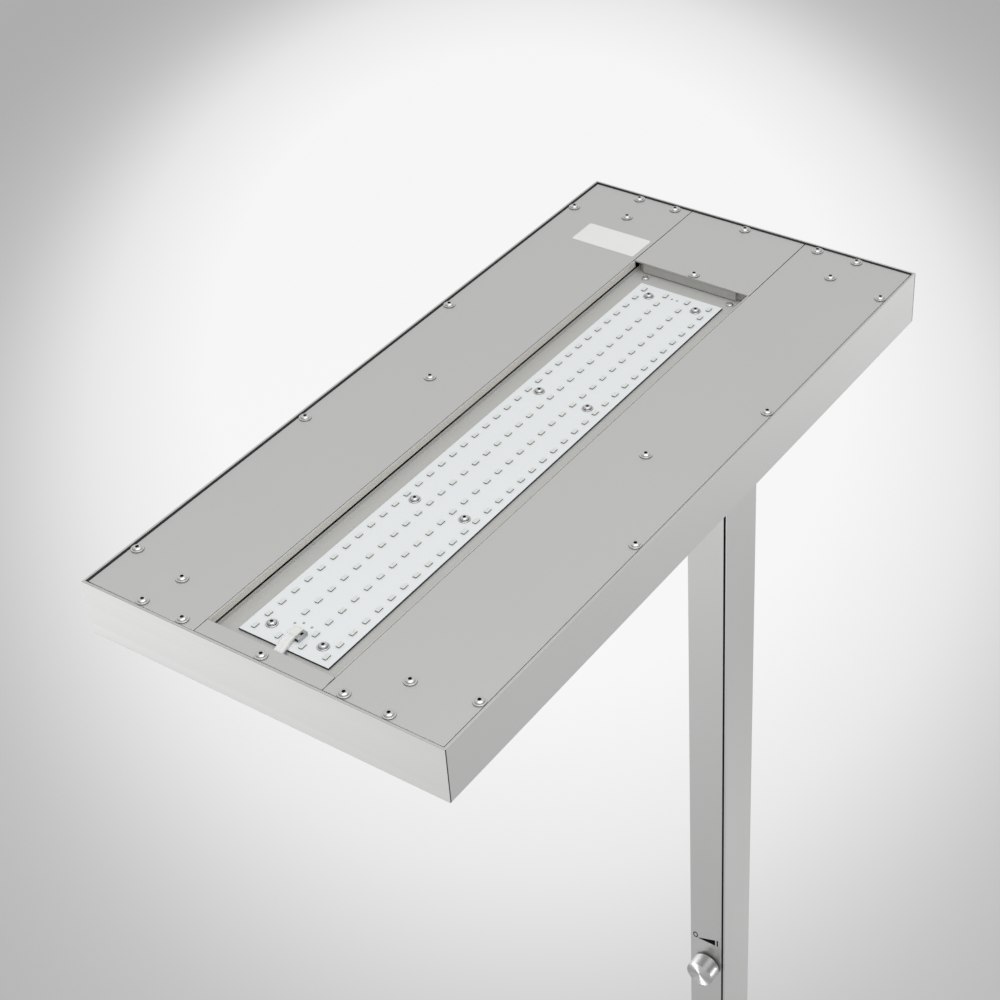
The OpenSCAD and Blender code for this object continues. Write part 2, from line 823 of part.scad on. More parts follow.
module head_bracket() {
    color(aluminium) difference() {
        union() {
            block([-flange_hx, pole_yc - flange_hy, pole_top], [flange_hx, pole_yc + flange_hy, sill_z]);
            column_block(pole_top - plug_l, pole_top);
        }
        at_head_bolts() translate([0, 0, pole_top]) hole(bolt_d, flange_t + over);
        translate([0, pole_yc, pole_top]) hole(wire_bore_d, plug_l + over);
        at_block_screws() hole(block_screw_d, block_screw_len + over);
    }
}

// Socket head bolts, put in from below
module head_bolts() {
    len = flange_t + plate_t + nut_h + bolt_end;
    color(steel) at_head_bolts() translate([0, 0, pole_top]) difference() {
        union() {
            translate([0, 0, -bolt_head_h]) cylinder(h = bolt_head_h, d = bolt_head_d, $fn = 40);
            cylinder(h = len, d = bolt_d, $fn = 40);
        }
        translate([0, 0, -bolt_head_h - over]) hexagon(bolt_d * bolt_key_share, over + bolt_head_h / 2);
    }
}

module head_nuts() {
    color(steel) at_head_bolts() translate([0, 0, plate_top]) difference() {
        hexagon(nut_af, nut_h);
        hole(bolt_d, nut_h + over);
    }
}

// Column profile: closed at the rear and sides, open at the front between two lips
module pole_profile() {
    color(aluminium) difference() {
        translate([0, pole_front, pole_bot]) linear_extrude(pole_top - pole_bot) difference() {
            translate([-pole_hx, 0]) square([pole_w, pole_d]);
            translate([pole_wall - pole_hx, front_t + pole_lip_t])
                square([pole_w - 2 * pole_wall, pole_d - pole_wall - front_t - pole_lip_t]);
            translate([mouth_left, -over])
                square([mouth_right - mouth_left, front_t + pole_lip_t + 2 * over]);
            translate([-pole_hx - over, -over]) square([pole_w + over - pole_wall, front_t + over]);
        }
        at_block_screws() hole(block_screw_d, pole_wall + over);
        translate([0, pole_rear, grommet_z]) rotate([90, 0, 0]) hole(grommet_neck_d, pole_wall + over);
    }
}

// Front cover strip with two ribs between the lips, notched for the dimmer
module pole_front_cover() {
    notch = dimmer_side / 2 + fit;
    color(aluminium) translate([0, pole_front, 0]) difference() {
        translate([0, 0, pole_bot]) linear_extrude(pole_top - pole_bot) {
            translate([-pole_hx, 0]) square([pole_hx + strip_right, front_t]);
            for (x = [mouth_left + fit, mouth_right - fit - rib_t])
                translate([x, 0]) square([rib_t, front_t + rib_l]);
        }
        block([-notch, front_t, knob_h - notch], [notch, front_t + rib_l + over, knob_h + notch]);
        translate([0, 0, knob_h]) rotate([90, 0, 0]) hole(bush_d, front_t + over);
    }
}

module foot_block() {
    color(steel) difference() {
        column_block(pole_bot, pole_bot + plug_l);
        at_block_screws() hole(block_screw_d, block_screw_len + over);
        at_base_screws() hole(base_screw_d, base_t + base_screw_up + over);
    }
}

module pole_screws() {
    color(steel) at_block_screws()
        pan_screw(block_screw_d, block_screw_head_d, block_screw_head_h, block_screw_len);
}

// Rubber grommet with a neck in the wall and a flange on each side of it
module cable_grommet() {
    r = inlet_d / 2;
    neck = grommet_neck_d / 2;
    flange = grommet_flange_d / 2;
    color(dark) translate([0, pole_rear, grommet_z]) rotate([90, 0, 0]) rotate_extrude($fn = 48) polygon([
        [r, -grommet_flange_t], [flange, -grommet_flange_t], [flange, 0], [neck, 0],
        [neck, pole_wall], [flange, pole_wall], [flange, pole_wall + grommet_flange_t],
        [r, pole_wall + grommet_flange_t],
    ]);
}

// Children at the dimmer axis on the column's front face, with z turned to point at the user
module at_dimmer() {
    translate([0, pole_front, knob_h]) rotate([90, 0, 0]) children();
}

module dimmer_body() {
    front = panel_nut_h + bush_end;
    color(dark) at_dimmer() difference() {
        union() {
            translate([-dimmer_side / 2, -dimmer_side / 2, -front_t - dimmer_depth])
                cube([dimmer_side, dimmer_side, dimmer_depth]);
            translate([0, 0, -front_t]) cylinder(h = front_t + front, d = bush_d, $fn = 48);
        }
        translate([0, 0, -front_t - shaft_in - fit])
            cylinder(h = front_t + shaft_in + fit + front + over, d = shaft_d + 2 * shaft_clear, $fn = 48);
    }
}

module dimmer_nut() {
    color(steel) at_dimmer() difference() {
        hexagon(panel_nut_af, panel_nut_h);
        hole(bush_d, panel_nut_h + over);
    }
}

// Distance from the column's front face to the front of the shaft
shaft_out = knob_gap + knob_l - knob_front_t;

module dimmer_shaft() {
    color(steel) at_dimmer() translate([0, 0, -front_t - shaft_in])
        cylinder(h = front_t + shaft_in + shaft_out, d = shaft_d, $fn = 48);
}

// Axis height of the set screw above the column's front face
set_screw_out = knob_gap + knob_recess_l + set_screw_share * (shaft_out - knob_gap - knob_recess_l);

// Turned knob, hollow at the back over the nut, with a slightly dished front
module dimmer_knob() {
    r = knob_d / 2;
    bore = shaft_d / 2 + shaft_clear;
    color(aluminium) at_dimmer() difference() {
        translate([0, 0, knob_gap]) rotate_extrude($fn = 96) polygon([
            [knob_recess_d / 2, 0], [r, 0], [r, knob_l - knob_chamfer], [r - knob_chamfer, knob_l],
            [knob_dish_d / 2, knob_l], [knob_dish_d / 2 - knob_dish_l, knob_l - knob_dish_l],
            [0, knob_l - knob_dish_l], [0, shaft_out - knob_gap], [bore, shaft_out - knob_gap],
            [bore, knob_recess_l], [knob_recess_d / 2, knob_recess_l],
        ]);
        translate([0, 0, set_screw_out]) rotate([90, 0, 0])
            cylinder(h = r + over, d = set_screw_d + 2 * hole_clear, $fn = 32);
    }
}

module knob_set_screw() {
    color(steel) at_dimmer() translate([0, 0, set_screw_out]) rotate([90, 0, 0]) difference() {
        translate([0, 0, shaft_d / 2 + shaft_clear]) cylinder(h = set_screw_len, d = set_screw_d, $fn = 32);
        translate([0, 0, shaft_d / 2 + set_screw_len / 2]) hexagon(set_screw_d / 2, set_screw_len);
    }
}

// Rectangle with round corners, centred on the base
module base_outline(edge) {
    r = base_r - edge;
    hull() for (x = [-1, 1], y = [-1, 1])
        translate([x * (base_w / 2 - base_r), y * (base_l / 2 - base_r)]) circle(r, $fn = 64);
}

// Children at the screws between the base plate and the foot block
module at_base_screws() {
    for (x = [-base_screw_x, base_screw_x], y = [-base_screw_y, base_screw_y])
        translate([x, pole_yc + y, foot_h]) children();
}

module base_plate() {
    color(aluminium) difference() {
        translate([0, base_yc, foot_h]) hull() {
            linear_extrude(base_t - base_edge) base_outline(0);
            linear_extrude(base_t) base_outline(base_edge);
        }
        at_base_screws() {
            hole(base_screw_d, base_t + over);
            cylinder(
                h = base_screw_head_h, d1 = base_screw_head_d + 2 * hole_clear,
                d2 = base_screw_d + 2 * hole_clear, $fn = 48
            );
        }
    }
}

// Countersunk screws, put in from below
module base_screws() {
    color(steel) at_base_screws() difference() {
        union() {
            cylinder(h = base_screw_head_h, d1 = base_screw_head_d, d2 = base_screw_d, $fn = 48);
            cylinder(h = base_t + base_screw_up, d = base_screw_d, $fn = 40);
        }
        translate([0, 0, -over])
            hexagon(base_screw_d * base_key_share, over + base_screw_head_h * base_key_deep_share);
    }
}

module base_feet() {
    x = base_w / 2 - foot_inset;
    y = base_l / 2 - foot_inset;
    color(dark) for (sx = [-x, x], sy = [-y, y]) translate([sx, base_yc + sy, 0])
        cylinder(h = foot_h, d1 = foot_d * foot_taper_share, d2 = foot_d, $fn = 48);
}

frame_rail_left();
frame_rail_right();
frame_rail_front();
frame_rail_rear();
corner_brackets();
cover_left();
cover_right();
front_cover_strip();
rear_cover();
cover_screws();
recess_lining_left();
recess_lining_right();
recess_tray();
recess_end_wall();
tray_screws();
front_strap();
middle_strap();
rear_strap();
tray_support();
uplight_board();
uplight_leds();
board_connector();
board_lead();
board_screws();
diffuser();
light_guide();
reflector_sheet();
back_plate();
edge_boards();
edge_leds();
uplight_driver();
downlight_driver();
driver_screws();
terminal_block();
rear_bottom_plate();
head_bracket();
head_bolts();
head_nuts();
pole_profile();
pole_front_cover();
foot_block();
pole_screws();
cable_grommet();
dimmer_body();
dimmer_nut();
dimmer_shaft();
dimmer_knob();
knob_set_screw();
base_plate();
base_screws();
base_feet();
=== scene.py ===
"""Looks of the office floor lamp: anodised aluminium, a white light board and a turned knob."""
import math
import random

import bmesh
import bpy
from mathutils import Matrix, Vector


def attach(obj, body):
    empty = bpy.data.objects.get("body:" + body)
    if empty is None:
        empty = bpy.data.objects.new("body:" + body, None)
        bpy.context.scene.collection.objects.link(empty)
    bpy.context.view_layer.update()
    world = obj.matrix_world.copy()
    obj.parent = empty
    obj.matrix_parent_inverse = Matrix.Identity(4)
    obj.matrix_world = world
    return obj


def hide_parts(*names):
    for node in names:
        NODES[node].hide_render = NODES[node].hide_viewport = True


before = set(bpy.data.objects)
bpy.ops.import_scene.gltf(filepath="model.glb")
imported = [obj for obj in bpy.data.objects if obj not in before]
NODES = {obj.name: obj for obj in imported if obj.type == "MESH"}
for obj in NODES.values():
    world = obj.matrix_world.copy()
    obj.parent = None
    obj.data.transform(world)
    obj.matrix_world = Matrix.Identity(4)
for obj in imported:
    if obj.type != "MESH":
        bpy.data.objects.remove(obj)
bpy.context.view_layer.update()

MM = 0.001
scene = bpy.context.scene

# Levels and places of the lamp, in millimetres, as its drawing gives them
RIM_Z = 1950
COVER_TOP = RIM_Z - 1
BOARD_TOP = RIM_Z - 9.6
CONNECTOR_FOOT = (0.5, -273, BOARD_TOP)
KNOB_AXIS = (0, 242.5, 1092)

# Camera, from the corners of the head in the photograph
EYE = Vector((0.72684, -0.97156, 2.80953))
AIM = Vector((0.05897, -0.05812, 1.950))
ROLL = math.radians(-3.232)
camera = bpy.data.objects.new("camera", bpy.data.cameras.new("camera"))
scene.collection.objects.link(camera)
camera.data.lens = 73.964
camera.data.sensor_width = 36
camera.data.shift_x = -0.0568
camera.data.shift_y = -0.019
camera.data.clip_end = 60
turn = (AIM - EYE).to_track_quat("-Z", "Y").to_matrix() @ Matrix.Rotation(ROLL, 3, "Z")
camera.matrix_world = Matrix.Translation(EYE) @ turn.to_4x4()
scene.camera = camera
scene.view_settings.view_transform = "Standard"


# Materials

def colour(code):
    """Linear colour from an sRGB hex value."""
    shares = [int(code[i:i + 2], 16) / 255 for i in (0, 2, 4)]
    return [s / 12.92 if s <= 0.04045 else ((s + 0.055) / 1.055) ** 2.4 for s in shares] + [1]


def add_node(tree, kind, inputs=None, **settings):
    """One shader node with its settings, its values and its links."""
    new = tree.nodes.new(kind)
    for name, value in settings.items():
        setattr(new, name, value)
    for key, value in (inputs or {}).items():
        if isinstance(value, bpy.types.NodeSocket):
            tree.links.new(value, new.inputs[key])
        else:
            new.inputs[key].default_value = value
    return new


# Share of the axis in the direction across the turning marks, so that it stays clear of the normal
# on the side of a turned piece
AXIS_SHARE = 0.2


def surface(name, tone, roughness, grain, stretch=(1, 1, 1), tint=0.02, spread=0.05, bump=0.0,
            depth=0.02, rings=0.0, centre=(0, 0, 0), flatten=(1, 1, 1), **sockets):
    """Material whose colour, roughness and height follow its grain.

    grain is the size of the grain in millimetres, stretched along the axes by stretch. tint and
    spread are the shares by which the tone and the roughness vary. depth is the height of the grain
    in millimetres. rings is the spacing of turning marks about centre, in millimetres, with flatten
    leaving out the axis of turning. Across these marks the gloss is stretched."""
    material = bpy.data.materials.new(name)
    material.use_nodes = True
    tree = material.node_tree
    tree.nodes.clear()
    place = add_node(tree, "ShaderNodeTexCoord").outputs["Object"]
    scale = [1 / (grain * MM * s) for s in stretch]
    mapped = add_node(tree, "ShaderNodeMapping", {"Vector": place, "Scale": scale})
    noise = add_node(tree, "ShaderNodeTexNoise", {
        "Vector": mapped.outputs["Vector"], "Scale": 1, "Detail": 2,
    })
    cloud = add_node(tree, "ShaderNodeTexNoise", {"Vector": place, "Scale": 9, "Detail": 1})
    both = add_node(tree, "ShaderNodeMath", {0: noise.outputs[0], 1: cloud.outputs[0]},
                    operation="ADD")
    low, high = [[min(1, c * k) for c in colour(tone)[:3]] + [1] for k in (1 - tint, 1 + tint)]
    mixed = add_node(tree, "ShaderNodeMapRange", {
        "Value": both.outputs[0], "From Min": 0.6, "From Max": 1.4,
    })
    tones = add_node(tree, "ShaderNodeMix", {0: mixed.outputs[0], 6: low, 7: high},
                     data_type="RGBA")
    matt = add_node(tree, "ShaderNodeMapRange", {
        "Value": noise.outputs[0], "From Min": 0.3, "From Max": 0.7,
        "To Min": max(0.02, roughness - spread), "To Max": roughness + spread,
    })
    shader = add_node(tree, "ShaderNodeBsdfPrincipled", {
        "Base Color": tones.outputs[2], "Roughness": matt.outputs[0], **sockets,
    })
    height = noise.outputs[0]
    if rings:
        arm = add_node(tree, "ShaderNodeVectorMath", {0: place, 1: [c * MM for c in centre]},
                       operation="SUBTRACT")
        flat = add_node(tree, "ShaderNodeVectorMath", {0: arm.outputs[0], 1: flatten},
                        operation="MULTIPLY")
        radius = add_node(tree, "ShaderNodeVectorMath", {0: flat.outputs[0]}, operation="LENGTH")
        outward = add_node(tree, "ShaderNodeVectorMath", {0: flat.outputs[0]},
                           operation="NORMALIZE")
        slanted = add_node(tree, "ShaderNodeVectorMath", {
            0: outward.outputs[0], 1: [AXIS_SHARE * (1 - f) for f in flatten],
        }, operation="ADD")
        across = add_node(tree, "ShaderNodeVectorTransform", {0: slanted.outputs[0]},
                          vector_type="VECTOR", convert_from="OBJECT", convert_to="WORLD")
        tree.links.new(across.outputs[0], shader.inputs["Tangent"])
        phase = add_node(tree, "ShaderNodeMath", {
            0: radius.outputs["Value"], 1: 2 * math.pi / (rings * MM),
        }, operation="MULTIPLY")
        wave = add_node(tree, "ShaderNodeMath", {0: phase.outputs[0]}, operation="SINE")
        height = wave.outputs[0]
    if bump:
        relief = add_node(tree, "ShaderNodeBump", {
            "Height": height, "Strength": bump, "Distance": depth * MM,
        })
        tree.links.new(relief.outputs[0], shader.inputs["Normal"])
    add_node(tree, "ShaderNodeOutputMaterial", {"Surface": shader.outputs[0]})
    return material


ALUMINIUM = "DBDBDA"

# Sheet aluminium, satin blasted and clear anodised: an even pale grey with a very fine grain
anodised_sheet = surface("satin anodised aluminium sheet", ALUMINIUM, 0.42, 0.7, tint=0.012,
                         spread=0.03, bump=0.12, depth=0.01, Metallic=1.0)
# Extruded aluminium, satin anodised: soft lines run along each profile from the die. They are finer
# than a pixel on the real lamp, so they are drawn 1.2 mm apart
die_lines = {
    axis: surface(f"satin anodised aluminium profile along {axis}", ALUMINIUM, 0.40, 1.2,
                  stretch=stretch, tint=0.015, spread=0.035, bump=0.10, depth=0.012, Metallic=1.0)
    for axis, stretch in (("x", (300, 1, 1)), ("y", (1, 300, 1)), ("z", (1, 1, 300)))
}
# Cast aluminium, tumbled: duller and more uneven than the profiles
cast_aluminium = surface("tumbled cast aluminium", "C4C4C5", 0.5, 1.5, tint=0.06, spread=0.08,
                         bump=0.4, depth=0.05, Metallic=1.0)
# Turned aluminium, clear anodised: rings from the lathe spread the light into two bright wedges.
# The real feed is about 0.1 mm, drawn at 0.5 mm so that it shows
turned_aluminium = surface("turned anodised aluminium", "E4E4E3", 0.56, 0.8, tint=0.02, spread=0.02,
                           bump=0.3, depth=0.012, rings=0.5, centre=KNOB_AXIS, flatten=(1, 0, 1),
                           Metallic=1.0, Anisotropic=0.95)
# Zinc-coated sheet steel, skin passed: a slightly mottled grey
zinc_sheet = surface("zinc-coated sheet steel", "C9CACB", 0.44, 1.4, tint=0.05, spread=0.05,
                     bump=0.15, depth=0.02, Metallic=1.0)
# Tray of the recess, the same sheet under a matt passivation: an even pale grey that shows hardly
# any reflection
matt_zinc = surface("matt passivated sheet steel", "CACAC8", 0.6, 1.4, tint=0.02, spread=0.05,
                    bump=0.1, depth=0.02, Metallic=0.3)
# Upright faces of the recess, lacquered: a warm off-white with a satin face that keeps it bright
pale_lacquer = surface("satin off-white lacquer", "E6E3DC", 0.45, 0.9, stretch=(1, 60, 1),
                       tint=0.015, spread=0.04, bump=0.08, depth=0.01)
# Rear wall of the recess, the same lacquer in a greyer shade, quiet beside the linings
grey_lacquer = surface("satin pale grey lacquer", "BFBEBB", 0.5, 0.9, stretch=(60, 1, 1),
                       tint=0.015, spread=0.04, bump=0.08, depth=0.01)
# Screws, bright zinc plated: the plating keeps a tight gloss on the rounded heads
zinc_screw = surface("zinc-plated steel", "E2E2E2", 0.22, 0.5, tint=0.04, spread=0.06, bump=0.1,
                     depth=0.01, Metallic=1.0)
# Painted shade in a dark grey steel with a dull shine: on the seats and sides of the board's
# washers, around the heads, and on the walls of the column's groove
painted_shade_steel = surface("dark grey steel for painted shade", "77787A", 0.38, 0.4, tint=0.1, spread=0.08, bump=0.2,
                     depth=0.01, Metallic=1.0)
# Circuit board under white solder mask: a cool white with the soft gloss of cured ink
solder_mask = surface("white solder mask", "F0F3F5", 0.34, 1.1, tint=0.012, spread=0.05, bump=0.15,
                      depth=0.01)
# Cut edge of the board: dark laminate with a dull face. Its eased top edges take it too, as painted
# shade, so that a thin line runs around the board
laminate_and_edge_shade = surface("cut edge of dark laminate and painted edge shade", "2B2B2C", 0.55, 0.5, tint=0.15, spread=0.08,
                   bump=0.2, depth=0.01)
# Sides of the light packages, tinned terminals between polymer, in a grey that also paints their
# shade, and painted shade on the screws' thin collars: a soft middle grey that draws a fine line
# around them
side_grey_and_shade = surface("tinned package side and painted shade", "737473", 0.45, 0.4, tint=0.1, spread=0.06, bump=0.1,
                   depth=0.005)
# Light package: white moulded polymer around its silicone
led_body = surface("white moulded light package", "E9EBEA", 0.35, 0.4, tint=0.02, spread=0.05,
                   bump=0.1, depth=0.005)
# Silicone with phosphor: a pale warm yellow when it is off
led_phosphor = surface("phosphor silicone", "EDEEE6", 0.28, 0.3, tint=0.03, spread=0.04, bump=0.1,
                       depth=0.005, **{"Subsurface Weight": 0.1})
# Nylon, moulded: a warm white with a low gloss
nylon = surface("moulded natural nylon", "F0EFEA", 0.4, 0.6, tint=0.02, spread=0.06, bump=0.15,
                depth=0.01, **{"Subsurface Weight": 0.08})
# Tinned contacts of the connector: a bright soft grey
tinned = surface("tinned brass", "BDBFC1", 0.3, 0.4, tint=0.06, spread=0.08, bump=0.2, depth=0.01,
                 Metallic=1.0)
# PVC sheath, extruded: a soft white skin with faint lines
white_pvc = surface("extruded white PVC", "F3F2F0", 0.38, 0.8, tint=0.02, spread=0.05, bump=0.2,
                    depth=0.02, **{"Subsurface Weight": 0.05})
# Acrylic sheet, opal: milky, with a satin face that spreads the light
opal_acrylic = surface("satin opal acrylic", "F0F1F1", 0.5, 0.9, tint=0.01, spread=0.04, bump=0.1,
                       depth=0.01, **{"Subsurface Weight": 0.3, "Transmission Weight": 0.15})
# Acrylic sheet, polished: clear with a faint cool tint
clear_acrylic = surface("polished clear acrylic", "F2F7F8", 0.06, 3, tint=0.01, spread=0.01,
                        **{"Transmission Weight": 1.0, "IOR": 1.49})
# Reflector film, foamed polyester: an even matt white
white_film = surface("foamed white film", "F6F6F5", 0.75, 0.5, tint=0.01, spread=0.05, bump=0.2,
                     depth=0.01)
# Driver housings, polycarbonate with a spark-eroded face: an off-white fine grain
driver_plastic = surface("grained white polycarbonate", "E4E4E1", 0.55, 0.6, tint=0.02, spread=0.06,
                         bump=0.4, depth=0.03)
# Dimmer body, phenolic: black with a dull shine
phenolic = surface("moulded black phenolic", "1C1C1D", 0.42, 0.8, tint=0.12, spread=0.08, bump=0.2,
                   depth=0.02)
# Powder coat, silver grey: a fine orange peel over metal flake
powder_coat = surface("silver-grey powder coat", "B4B5B6", 0.48, 1.6, tint=0.03, spread=0.07,
                      bump=0.35, depth=0.04, Metallic=0.35)
# Rubber, moulded: near black, matt
rubber = surface("moulded black rubber", "1B1B1C", 0.7, 0.7, tint=0.15, spread=0.08, bump=0.4,
                 depth=0.03)
# Label film, vinyl: a plain bright white with a low gloss
vinyl_film = surface("white vinyl film", "F3F3F1", 0.4, 4, tint=0.008, spread=0.03)
# Screen ink: a dense black with a dull surface
screen_ink = surface("black screen ink", "090909", 0.7, 0.4, tint=0.15, spread=0.08, bump=0.2,
                     depth=0.005, **{"Specular IOR Level": 0.1})
# Painted shade on the inner side of the frame's rim, beside the covers, and in the seams of the
# mitred corners: a dull dark grey for the shade of a narrow gap
painted_gap_shade = surface("painted shade of the rim's gap", "464646", 0.6, 0.7, tint=0.1, spread=0.08)
# Openings of sockets and contacts that no light reaches: almost black
shade = surface("unlit opening", "101011", 0.6, 0.5, tint=0.2, spread=0.1)


# Modelling

def select(*pieces):
    """Leaves edit mode and selects these objects alone, the last one active."""
    if bpy.context.mode != "OBJECT":
        bpy.ops.object.mode_set(mode="OBJECT")
    bpy.ops.object.select_all(action="DESELECT")
    for piece in pieces:
        piece.select_set(True)
        bpy.context.view_layer.objects.active = piece


def pick(piece, kind, rule):
    """In edit mode, selects the faces, edges or vertices that the rule takes, and no others."""
    bpy.ops.mesh.select_mode(type={"faces": "FACE", "edges": "EDGE", "verts": "VERT"}[kind])
    mesh = bmesh.from_edit_mesh(piece.data)
    for group in (mesh.verts, mesh.edges, mesh.faces):
        for item in group:
            item.select = False
    for item in getattr(mesh, kind):
        if rule(item):
            item.select_set(True)
    mesh.select_flush_mode()
    bmesh.update_edit_mesh(piece.data)


def begin(name, low=None, high=None, radius=0, height=0, sides=48, foot=(0, 0, 0), along="z"):
    """New block between two corners, or a round bar that stands on foot, in millimetres."""
    select()
    if low:
        middle = [(a + b) / 2 * MM for a, b in zip(low, high)]
        bpy.ops.mesh.primitive_cube_add(size=1, location=middle)
        bpy.context.active_object.scale = [(b - a) * MM for a, b in zip(low, high)]
    else:
        bpy.ops.mesh.primitive_cylinder_add(vertices=sides, radius=radius * MM, depth=height * MM,
                                            location=(0, 0, height / 2 * MM))
    piece = bpy.context.active_object
    piece.name = piece.data.name = name
    bpy.ops.object.transform_apply(location=True, rotation=True, scale=True)
    if not low:
        if along == "-y":
            piece.data.transform(Matrix.Rotation(math.radians(90), 4, "X"))
        piece.data.transform(Matrix.Translation([c * MM for c in foot]))
    bpy.ops.object.mode_set(mode="EDIT")
    return piece


def top_face(piece, axis=2, sign=1):
    """Selects the face that lies furthest along an axis."""
    mesh = bmesh.from_edit_mesh(piece.data)
    far = max(sign * f.calc_center_median()[axis] for f in mesh.faces if abs(f.normal[axis]) > 0.9)
    pick(piece, "faces", lambda f: sign * f.calc_center_median()[axis] > far - 1e-6
         and sign * f.normal[axis] > 0.9)


def step(up=0.0, scale=1.0, direction=(0, 0, 1), centre=(0, 0, 0), flat=(1, 1, 0)):
    """Extrudes the selected face along a direction, then draws it in or out about centre."""
    rise = [c * up * MM for c in direction]
    bpy.ops.mesh.extrude_region_move(TRANSFORM_OT_translate={"value": rise})
    if scale != 1:
        bpy.ops.transform.resize(value=[scale if f else 1 for f in flat],
                                 center_override=[c * MM for c in centre])


def dome(piece, radius, steps):
    """Raises the top face in steps. Each is a share of radius to draw in to, and a rise."""
    for share, rise in steps:
        top_face(piece)
        now = max(v.co.x for v in bmesh.from_edit_mesh(piece.data).verts if v.select)
        step(rise, share * radius * MM / now)


def finish(piece, finish_of, smooth=35, body="lamp", node=()):
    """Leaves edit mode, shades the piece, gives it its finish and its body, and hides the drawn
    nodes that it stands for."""
    select(piece)
    bpy.ops.object.shade_smooth_by_angle(angle=math.radians(smooth))
    for number, material in enumerate(finish_of):
        if number < len(piece.data.materials):
            piece.data.materials[number] = material
        else:
            piece.data.materials.append(material)
    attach(piece, body)
    if node:
        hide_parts(*node)
    return piece


def apply_modifier(piece, kind, **settings):
    """Adds a modifier with its settings and applies it."""
    select(piece)
    modifier = piece.modifiers.new(kind.lower(), kind)
    for name, value in settings.items():
        setattr(modifier, name, value)
    bpy.ops.object.modifier_apply(modifier=modifier.name)


def cut(piece, tool, inside=()):
    """Takes the tool's shape out of the piece and removes the tool. inside holds the piece's own
    finish and the finish of the faces that the tool leaves."""
    select()
    for number, material in enumerate(inside):
        for mesh in (piece.data, tool.data):
            if len(mesh.materials) <= number:
                mesh.materials.append(material)
    for face in tool.data.polygons:
        face.material_index = 1 if inside else 0
    apply_modifier(piece, "BOOLEAN", operation="DIFFERENCE", object=tool, solver="EXACT",
                   material_mode="INDEX")
    bpy.data.objects.remove(tool)


def repeat(piece, places, turns=None):
    """Copies a piece to each place, each copy with its own mesh, and joins them in one object."""
    select()
    copies = []
    for number, place in enumerate(places):
        copy = piece.copy()
        copy.data = piece.data.copy()
        scene.collection.objects.link(copy)
        spin = Matrix.Rotation(turns[number] if turns else 0, 4, "Z")
        copy.data.transform(Matrix.Translation([c * MM for c in place]) @ spin)
        copies.append(copy)
    name = piece.name
    bpy.data.objects.remove(piece)
    select(*copies)
    bpy.ops.object.join()
    joined = bpy.context.active_object
    joined.name = joined.data.name = name
    return joined


def is_mitre(face):
    """True for the slanting end faces of the mitred rails."""
    return abs(abs(face.normal.x) - abs(face.normal.y)) < 0.05 and abs(face.normal.z) < 0.1


# Least height of a rail's upright mitre edge
UPRIGHT = 40


def eased(node, radius, material, least=12, mitre=0):
    """Copy of a sheet or profile with its long edges eased, as deburring and anodising leave them.

    Only sharp edges longer than least are eased. mitre is the chamfer of a rail's upright mitre
    edges."""
    piece = bpy.data.objects.new(node + "_eased", NODES[node].data.copy())
    scene.collection.objects.link(piece)
    select(piece)
    bpy.ops.object.mode_set(mode="EDIT")
    bpy.ops.mesh.select_all(action="SELECT")
    bpy.ops.mesh.remove_doubles(threshold=0.001 * MM)
    bpy.ops.mesh.dissolve_limited(angle_limit=math.radians(0.5))
    pick(piece, "edges", lambda e: len(e.link_faces) == 2 and e.calc_length() > least * MM
         and e.calc_face_angle() > math.radians(40) and not any(is_mitre(f) for f in e.link_faces))
    bpy.ops.mesh.bevel(offset=radius * MM, segments=2, profile=0.5, affect="EDGES",
                       clamp_overlap=False)
    if mitre:
        pick(piece, "edges", lambda e: abs(e.verts[0].co.z - e.verts[1].co.z) > UPRIGHT * MM
             and any(is_mitre(f) for f in e.link_faces))
        bpy.ops.mesh.bevel(offset=mitre * MM, segments=1, affect="EDGES", clamp_overlap=False)
    bpy.ops.object.mode_set(mode="OBJECT")
    piece.data.materials.clear()
    finish(piece, [material], smooth=50, node=[node])
    apply_modifier(piece, "WEIGHTED_NORMAL", keep_sharp=True)
    return piece


# Flat white lead: from the connector over the board's front edge, then below the tray to the driver

def rounded(points, times):
    """Corner cutting that keeps both ends of a line of points."""
    for _ in range(times):
        cuts = [points[0]]
        for number, (a, b) in enumerate(zip(points, points[1:])):
            if number > 0:
                cuts.append(a.lerp(b, 0.25))
            if number < len(points) - 2:
                cuts.append(a.lerp(b, 0.75))
        points = cuts + [points[-1]]
    return points


LEAD_W = 7.4
LEAD_T = 3
UNDER_TRAY = Vector((2.4, -24, -14.9))
DRIVER_END = Vector((95, -40, 1925.5))
foot = Vector(CONNECTOR_FOOT)
lead_points = [foot + Vector(p) for p in (
    (-1.8, 0, 1.9), (-1.8, -4.5, 1.9), (-0.2, -10, 1.9), (1.2, -16, 1.9), (1.7, -21, 1.6),
    (1.9, -26, 0.1), (1.9, -29, -2.9), (1.9, -29.5, -6.4), (1.9, -29.5, -10.4), (1.9, -28, -13.4),
)]
run_from = foot + UNDER_TRAY
lead_points += [
    run_from + Vector((x, y, y)) * (DRIVER_END - run_from) for x, y in (
        (0, 0), (0.04, 0.03), (0.16, 0.105), (0.4, 0.24), (0.7, 0.4), (0.92, 0.57), (1, 0.73),
        (1, 0.86), (1, 0.98), (1, 1),
    )
]
lead_path = [p * MM for p in rounded(lead_points, 2)]
outline = [(x, z) for x, z in (
    (1, 0.3), (0.96, 0.7), (0.85, 0.95), (0.7, 1), (0.1, 1), (0, 0.9), (-0.1, 1), (-0.7, 1),
    (-0.85, 0.95), (-0.96, 0.7), (-1, 0.3),
)]
outline += [(x, -z) for x, z in reversed(outline)]
corners, across = [], Vector((1, 0, 0))
for number, point in enumerate(lead_path):
    ahead = lead_path[min(number + 1, len(lead_path) - 1)] - lead_path[max(number - 1, 0)]
    ahead.normalize()
    across = (across - across.dot(ahead) * ahead).normalized()
    up = across.cross(ahead)
    corners += [
        point + across * (x * LEAD_W / 2 * MM) + up * (z * LEAD_T / 2 * MM) for x, z in outline
    ]
count = len(outline)
